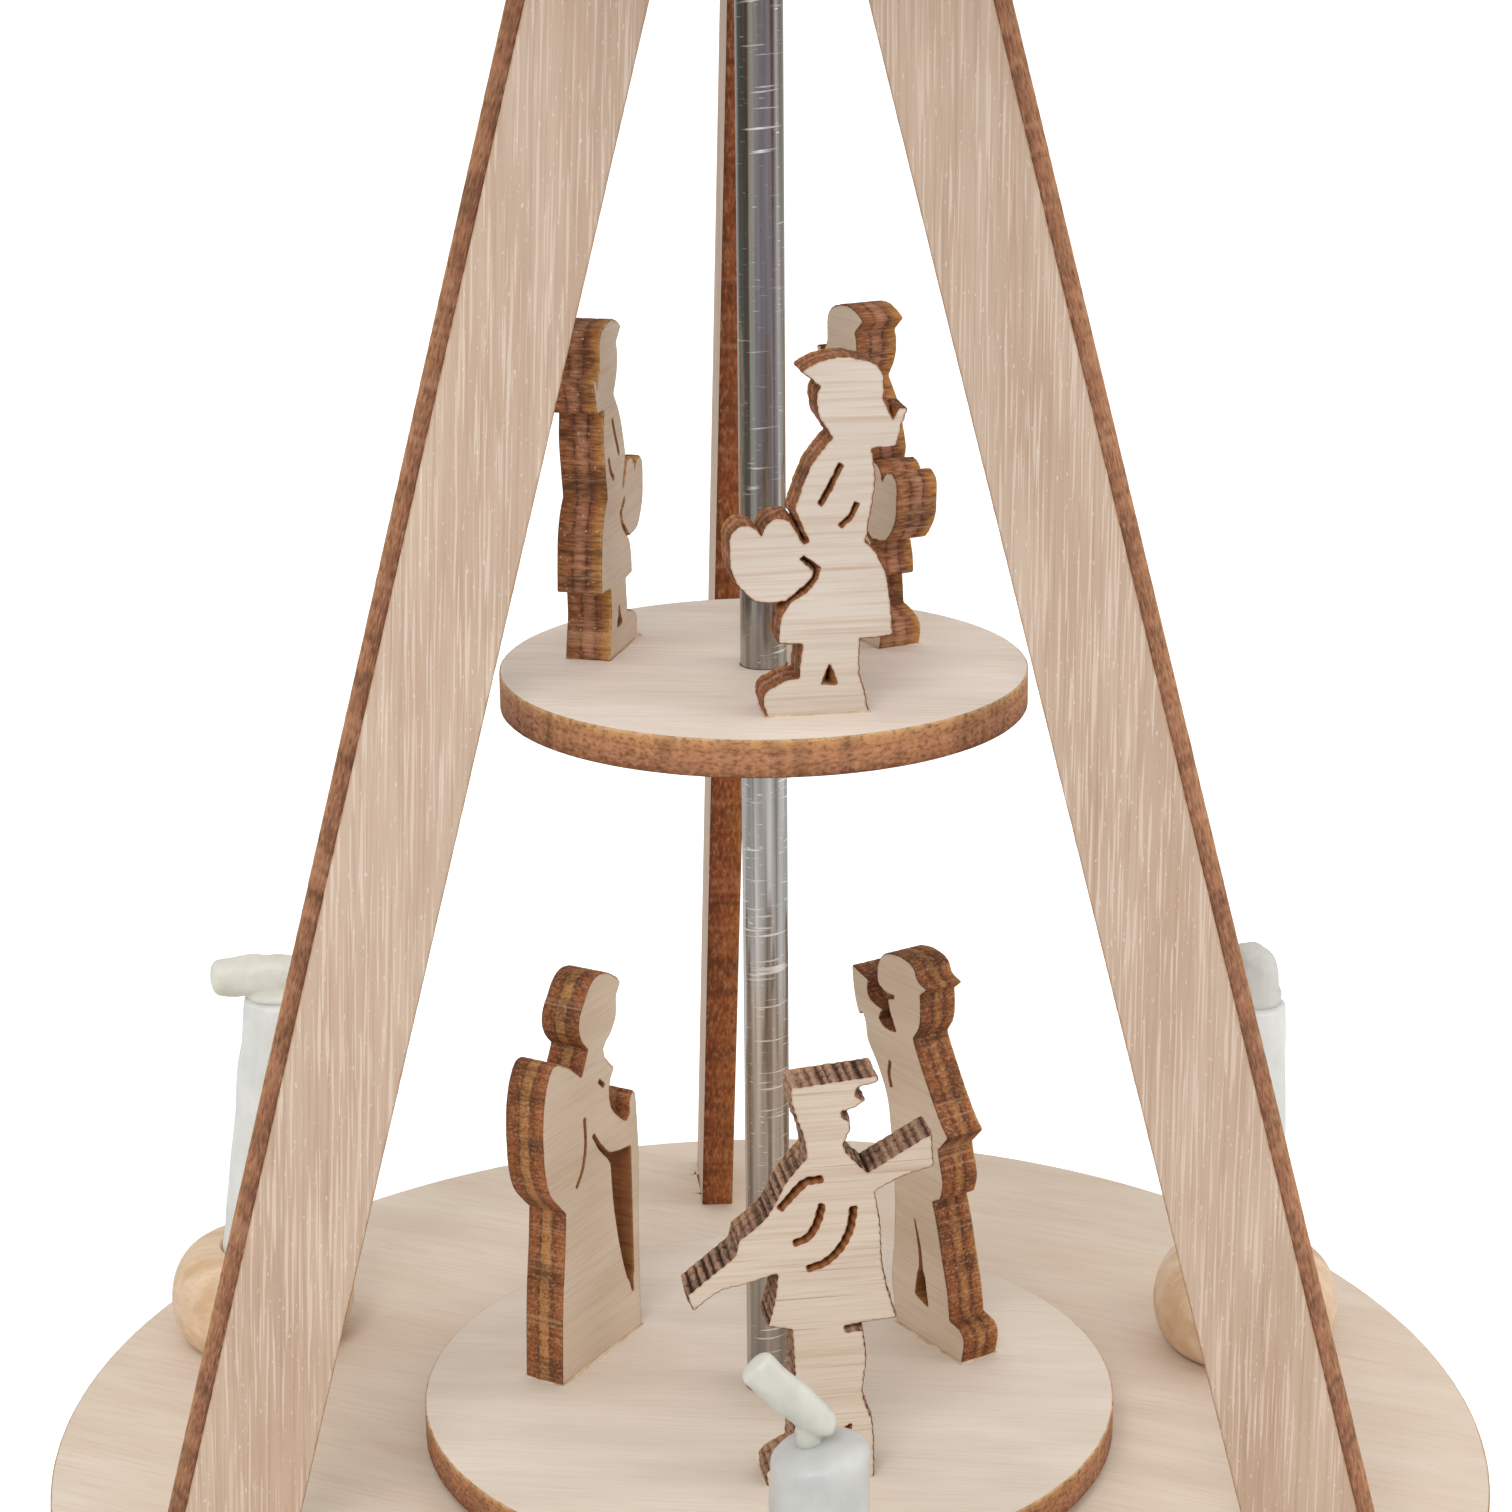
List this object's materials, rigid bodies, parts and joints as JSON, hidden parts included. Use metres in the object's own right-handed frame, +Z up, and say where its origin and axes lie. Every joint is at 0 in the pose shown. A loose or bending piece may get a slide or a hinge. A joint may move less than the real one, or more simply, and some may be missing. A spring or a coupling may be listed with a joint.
{
  "type": "candle carousel",
  "caption": "Tabletop wooden candle carousel: round base, leaning legs and head plate holding a steel spindle with figure platforms, turned by a bladed rotor over small candles.",
  "frame": {"origin": "centre of the base plate's underside", "axes": "+Z up along the spindle; +Y towards the rear leg; -Y towards the front candle"},
  "size_m": [0.1352, 0.1352, 0.173],
  "materials": {
    "birch_plywood": "bare birch plywood with laser-burnt brown edges",
    "figure_plywood": "bare pale plywood with dark burnt edges and three visible plies",
    "blade_plywood": "bare thin plywood with burnt edges",
    "turned_wood": "turned light beech, satin",
    "bright_steel": "bright drawn rod with turning marks",
    "brass": "turned brass",
    "candle_wax": "translucent white wax",
    "wick_wax": "waxed white wick"
  },
  "bodies": {
    "frame": {"base_plate": "birch_plywood", "leg_left": "birch_plywood", "leg_right": "birch_plywood", "leg_rear": "birch_plywood", "head_plate": "birch_plywood", "head_bush": "brass", "bearing_cup": "brass", "candle_holder_front": "turned_wood", "candle_holder_left": "turned_wood", "candle_holder_right": "turned_wood"},
    "carousel": {"spindle": "bright_steel", "lower_platform": "birch_plywood", "upper_platform": "birch_plywood", "basket_maid_front": "figure_plywood", "basket_maid_left": "figure_plywood", "basket_maid_right": "figure_plywood", "pedlar_with_cane": "figure_plywood", "dancer": "figure_plywood", "load_bearer": "figure_plywood"},
    "rotor": {"rotor_hub": "turned_wood", "blade_1": "blade_plywood", "blade_2": "blade_plywood", "blade_3": "blade_plywood", "blade_4": "blade_plywood", "blade_5": "blade_plywood", "blade_6": "blade_plywood", "blade_7": "blade_plywood", "blade_8": "blade_plywood"},
    "front_candle": {"candle_front": "candle_wax", "wick_front": "wick_wax"},
    "left_candle": {"candle_left": "candle_wax", "wick_left": "wick_wax"},
    "right_candle": {"candle_right": "candle_wax", "wick_right": "wick_wax"}
  },
  "joints": [
    {"name": "carousel_spin", "type": "hinge", "parent": "frame", "child": "carousel", "pos_m": [0, 0, 0.005], "axis": [0, 0, 1], "continuous": true},
    {"name": "rotor_lift", "type": "slide", "parent": "carousel", "child": "rotor", "axis": [0, 0, 1], "range_m": [0, 0.012]},
    {"name": "front_candle_lift", "type": "slide", "parent": "frame", "child": "front_candle", "axis": [0, 0, 1], "range_m": [0, 0.012]},
    {"name": "left_candle_lift", "type": "slide", "parent": "frame", "child": "left_candle", "axis": [0, 0, 1], "range_m": [0, 0.012]},
    {"name": "right_candle_lift", "type": "slide", "parent": "frame", "child": "right_candle", "axis": [0, 0, 1], "range_m": [0, 0.012]}
  ]
}
